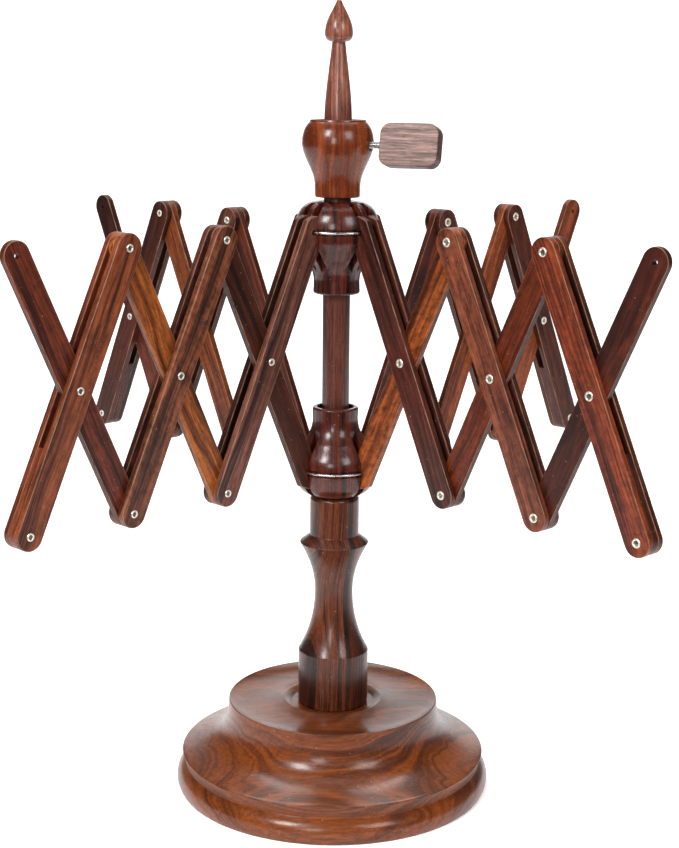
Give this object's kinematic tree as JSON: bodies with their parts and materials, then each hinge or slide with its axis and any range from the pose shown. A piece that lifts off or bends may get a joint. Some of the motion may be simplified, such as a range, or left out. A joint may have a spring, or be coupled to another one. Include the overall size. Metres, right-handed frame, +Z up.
{
  "type": "table-top yarn swift",
  "caption": "Table-top umbrella yarn swift: hardwood lazy-tongs arms riveted to turned hubs on a spindle, with a clamp collar and a stout turned base.",
  "frame": {"origin": "centre of the base's underside, on the spindle's axis, at table level", "axes": "+Z up the spindle; the arms stand at 45, 135, 225 and 315 degrees from +X; the picture looks along +Y"},
  "size_m": [0.333, 0.333, 0.469],
  "materials": {
    "base_wood": "satin",
    "pedestal_wood": "satin",
    "spindle_wood": "satin",
    "hub_wood": "glossy",
    "collar_wood": "glossy",
    "paddle_wood": "matte",
    "slat_wood": "satin",
    "slat_wood_light": "satin",
    "slat_wood_dark": "satin",
    "steel": "polished",
    "nickel": "polished",
    "brass": "satin"
  },
  "bodies": {
    "root": {"base": "base_wood", "base_screw": "steel", "pedestal": "pedestal_wood", "spindle": "spindle_wood"},
    "lower_hub": {"lower_hub": "hub_wood", "lower_ring": "steel"},
    "upper_hub": {"upper_hub": "hub_wood", "upper_ring": "steel"},
    "collar": {"collar": "collar_wood", "collar_insert": "brass"},
    "clamp_screw": {"clamp_screw": "steel", "thumb_paddle": "paddle_wood"},
    "arm1_riser_1": {"arm1_riser_1": "slat_wood"},
    "arm1_pair_1": {"arm1_pair_1_left": "slat_wood_dark", "arm1_pair_1_right": "slat_wood_dark", "arm1_eyelets_1": "nickel"},
    "arm1_riser_2": {"arm1_riser_2": "slat_wood_light"},
    "arm1_pair_2": {"arm1_pair_2_left": "slat_wood_dark", "arm1_pair_2_right": "slat_wood_dark", "arm1_eyelets_2": "nickel"},
    "arm1_riser_3": {"arm1_riser_3": "slat_wood"},
    "arm1_pair_3": {"arm1_pair_3_left": "slat_wood", "arm1_pair_3_right": "slat_wood", "arm1_eyelets_3": "nickel"},
    "arm2_riser_1": {"arm2_riser_1": "slat_wood"},
    "arm2_pair_1": {"arm2_pair_1_left": "slat_wood_dark", "arm2_pair_1_right": "slat_wood_dark", "arm2_eyelets_1": "nickel"},
    "arm2_riser_2": {"arm2_riser_2": "slat_wood_light"},
    "arm2_pair_2": {"arm2_pair_2_left": "slat_wood_dark", "arm2_pair_2_right": "slat_wood_dark", "arm2_eyelets_2": "nickel"},
    "arm2_riser_3": {"arm2_riser_3": "slat_wood"},
    "arm2_pair_3": {"arm2_pair_3_left": "slat_wood", "arm2_pair_3_right": "slat_wood", "arm2_eyelets_3": "nickel"},
    "arm3_riser_1": {"arm3_riser_1": "slat_wood"},
    "arm3_pair_1": {"arm3_pair_1_left": "slat_wood_dark", "arm3_pair_1_right": "slat_wood_dark", "arm3_eyelets_1": "nickel"},
    "arm3_riser_2": {"arm3_riser_2": "slat_wood_light"},
    "arm3_pair_2": {"arm3_pair_2_left": "slat_wood_dark", "arm3_pair_2_right": "slat_wood_dark", "arm3_eyelets_2": "nickel"},
    "arm3_riser_3": {"arm3_riser_3": "slat_wood"},
    "arm3_pair_3": {"arm3_pair_3_left": "slat_wood", "arm3_pair_3_right": "slat_wood", "arm3_eyelets_3": "nickel"},
    "arm4_riser_1": {"arm4_riser_1": "slat_wood_light"},
    "arm4_pair_1": {"arm4_pair_1_left": "slat_wood_dark", "arm4_pair_1_right": "slat_wood_dark", "arm4_eyelets_1": "nickel"},
    "arm4_riser_2": {"arm4_riser_2": "slat_wood_light"},
    "arm4_pair_2": {"arm4_pair_2_left": "slat_wood_dark", "arm4_pair_2_right": "slat_wood_dark", "arm4_eyelets_2": "nickel"},
    "arm4_riser_3": {"arm4_riser_3": "slat_wood"},
    "arm4_pair_3": {"arm4_pair_3_left": "slat_wood", "arm4_pair_3_right": "slat_wood", "arm4_eyelets_3": "nickel"}
  },
  "joints": [
    {"name": "swift_spin", "type": "hinge", "parent": "root", "child": "lower_hub", "pos_m": [0, 0, 0.1986], "axis": [0, 0, 1], "continuous": true},
    {"name": "fold", "type": "hinge", "parent": "lower_hub", "child": "arm1_riser_1", "pos_m": [0.01711, 0.01711, 0.1986], "axis": [0.7071, -0.7071, 0], "range_deg": [-34, 10]},
    {"name": "arm1_cross_1", "type": "hinge", "parent": "arm1_riser_1", "child": "arm1_pair_1", "pos_m": [0.04036, 0.04036, 0.26911], "axis": [0.7071, -0.7071, 0], "range_deg": [-20, 68]},
    {"name": "arm1_foot_1", "type": "hinge", "parent": "arm1_pair_1", "child": "arm1_riser_2", "pos_m": [0.06361, 0.06361, 0.1986], "axis": [0.7071, -0.7071, 0], "range_deg": [-68, 20]},
    {"name": "arm1_cross_2", "type": "hinge", "parent": "arm1_riser_2", "child": "arm1_pair_2", "pos_m": [0.08686, 0.08686, 0.26911], "axis": [0.7071, -0.7071, 0], "range_deg": [-20, 68]},
    {"name": "arm1_foot_2", "type": "hinge", "parent": "arm1_pair_2", "child": "arm1_riser_3", "pos_m": [0.11011, 0.11011, 0.1986], "axis": [0.7071, -0.7071, 0], "range_deg": [-68, 20]},
    {"name": "arm1_cross_3", "type": "hinge", "parent": "arm1_riser_3", "child": "arm1_pair_3", "pos_m": [0.13336, 0.13336, 0.26911], "axis": [0.7071, -0.7071, 0], "range_deg": [-20, 68]},
    {"name": "arm2_lower_pivot", "type": "hinge", "parent": "lower_hub", "child": "arm2_riser_1", "pos_m": [-0.01711, 0.01711, 0.1986], "axis": [0.7071, 0.7071, 0], "range_deg": [-34, 10]},
    {"name": "arm2_cross_1", "type": "hinge", "parent": "arm2_riser_1", "child": "arm2_pair_1", "pos_m": [-0.04036, 0.04036, 0.26911], "axis": [0.7071, 0.7071, 0], "range_deg": [-20, 68]},
    {"name": "arm2_foot_1", "type": "hinge", "parent": "arm2_pair_1", "child": "arm2_riser_2", "pos_m": [-0.06361, 0.06361, 0.1986], "axis": [0.7071, 0.7071, 0], "range_deg": [-68, 20]},
    {"name": "arm2_cross_2", "type": "hinge", "parent": "arm2_riser_2", "child": "arm2_pair_2", "pos_m": [-0.08686, 0.08686, 0.26911], "axis": [0.7071, 0.7071, 0], "range_deg": [-20, 68]},
    {"name": "arm2_foot_2", "type": "hinge", "parent": "arm2_pair_2", "child": "arm2_riser_3", "pos_m": [-0.11011, 0.11011, 0.1986], "axis": [0.7071, 0.7071, 0], "range_deg": [-68, 20]},
    {"name": "arm2_cross_3", "type": "hinge", "parent": "arm2_riser_3", "child": "arm2_pair_3", "pos_m": [-0.13336, 0.13336, 0.26911], "axis": [0.7071, 0.7071, 0], "range_deg": [-20, 68]},
    {"name": "arm3_lower_pivot", "type": "hinge", "parent": "lower_hub", "child": "arm3_riser_1", "pos_m": [-0.01711, -0.01711, 0.1986], "axis": [-0.7071, 0.7071, 0], "range_deg": [-34, 10]},
    {"name": "arm3_cross_1", "type": "hinge", "parent": "arm3_riser_1", "child": "arm3_pair_1", "pos_m": [-0.04036, -0.04036, 0.26911], "axis": [-0.7071, 0.7071, 0], "range_deg": [-20, 68]},
    {"name": "arm3_foot_1", "type": "hinge", "parent": "arm3_pair_1", "child": "arm3_riser_2", "pos_m": [-0.06361, -0.06361, 0.1986], "axis": [-0.7071, 0.7071, 0], "range_deg": [-68, 20]},
    {"name": "arm3_cross_2", "type": "hinge", "parent": "arm3_riser_2", "child": "arm3_pair_2", "pos_m": [-0.08686, -0.08686, 0.26911], "axis": [-0.7071, 0.7071, 0], "range_deg": [-20, 68]},
    {"name": "arm3_foot_2", "type": "hinge", "parent": "arm3_pair_2", "child": "arm3_riser_3", "pos_m": [-0.11011, -0.11011, 0.1986], "axis": [-0.7071, 0.7071, 0], "range_deg": [-68, 20]},
    {"name": "arm3_cross_3", "type": "hinge", "parent": "arm3_riser_3", "child": "arm3_pair_3", "pos_m": [-0.13336, -0.13336, 0.26911], "axis": [-0.7071, 0.7071, 0], "range_deg": [-20, 68]},
    {"name": "arm4_lower_pivot", "type": "hinge", "parent": "lower_hub", "child": "arm4_riser_1", "pos_m": [0.01711, -0.01711, 0.1986], "axis": [-0.7071, -0.7071, 0], "range_deg": [-34, 10]},
    {"name": "arm4_cross_1", "type": "hinge", "parent": "arm4_riser_1", "child": "arm4_pair_1", "pos_m": [0.04036, -0.04036, 0.26911], "axis": [-0.7071, -0.7071, 0], "range_deg": [-20, 68]},
    {"name": "arm4_foot_1", "type": "hinge", "parent": "arm4_pair_1", "child": "arm4_riser_2", "pos_m": [0.06361, -0.06361, 0.1986], "axis": [-0.7071, -0.7071, 0], "range_deg": [-68, 20]},
    {"name": "arm4_cross_2", "type": "hinge", "parent": "arm4_riser_2", "child": "arm4_pair_2", "pos_m": [0.08686, -0.08686, 0.26911], "axis": [-0.7071, -0.7071, 0], "range_deg": [-20, 68]},
    {"name": "arm4_foot_2", "type": "hinge", "parent": "arm4_pair_2", "child": "arm4_riser_3", "pos_m": [0.11011, -0.11011, 0.1986], "axis": [-0.7071, -0.7071, 0], "range_deg": [-68, 20]},
    {"name": "arm4_cross_3", "type": "hinge", "parent": "arm4_riser_3", "child": "arm4_pair_3", "pos_m": [0.13336, -0.13336, 0.26911], "axis": [-0.7071, -0.7071, 0], "range_deg": [-20, 68]},
    {"name": "upper_pivot", "type": "hinge", "parent": "arm1_pair_1", "child": "upper_hub", "pos_m": [0.01711, 0.01711, 0.33962], "axis": [0.7071, -0.7071, 0], "range_deg": [-34, 10]},
    {"name": "collar_slide", "type": "slide", "parent": "root", "child": "collar", "axis": [0, 0, 1], "range_m": [-0.0511, 0.0151]},
    {"name": "clamp_turn", "type": "hinge", "parent": "collar", "child": "clamp_screw", "pos_m": [0, 0, 0.38862], "axis": [0.9397, -0.342, 0], "range_deg": [-180, 180]}
  ],
  "couplings": [
    {"joint": "arm1_cross_1", "follows": "fold", "ratio": -2},
    {"joint": "arm1_foot_1", "follows": "fold", "ratio": 2},
    {"joint": "arm1_cross_2", "follows": "fold", "ratio": -2},
    {"joint": "arm1_foot_2", "follows": "fold", "ratio": 2},
    {"joint": "arm1_cross_3", "follows": "fold", "ratio": -2},
    {"joint": "arm2_lower_pivot", "follows": "fold", "ratio": 1},
    {"joint": "arm2_cross_1", "follows": "fold", "ratio": -2},
    {"joint": "arm2_foot_1", "follows": "fold", "ratio": 2},
    {"joint": "arm2_cross_2", "follows": "fold", "ratio": -2},
    {"joint": "arm2_foot_2", "follows": "fold", "ratio": 2},
    {"joint": "arm2_cross_3", "follows": "fold", "ratio": -2},
    {"joint": "arm3_lower_pivot", "follows": "fold", "ratio": 1},
    {"joint": "arm3_cross_1", "follows": "fold", "ratio": -2},
    {"joint": "arm3_foot_1", "follows": "fold", "ratio": 2},
    {"joint": "arm3_cross_2", "follows": "fold", "ratio": -2},
    {"joint": "arm3_foot_2", "follows": "fold", "ratio": 2},
    {"joint": "arm3_cross_3", "follows": "fold", "ratio": -2},
    {"joint": "arm4_lower_pivot", "follows": "fold", "ratio": 1},
    {"joint": "arm4_cross_1", "follows": "fold", "ratio": -2},
    {"joint": "arm4_foot_1", "follows": "fold", "ratio": 2},
    {"joint": "arm4_cross_2", "follows": "fold", "ratio": -2},
    {"joint": "arm4_foot_2", "follows": "fold", "ratio": 2},
    {"joint": "arm4_cross_3", "follows": "fold", "ratio": -2},
    {"joint": "upper_pivot", "follows": "fold", "ratio": 1},
    {"joint": "collar_slide", "follows": "fold", "m_per_rad": 0.086}
  ]
}
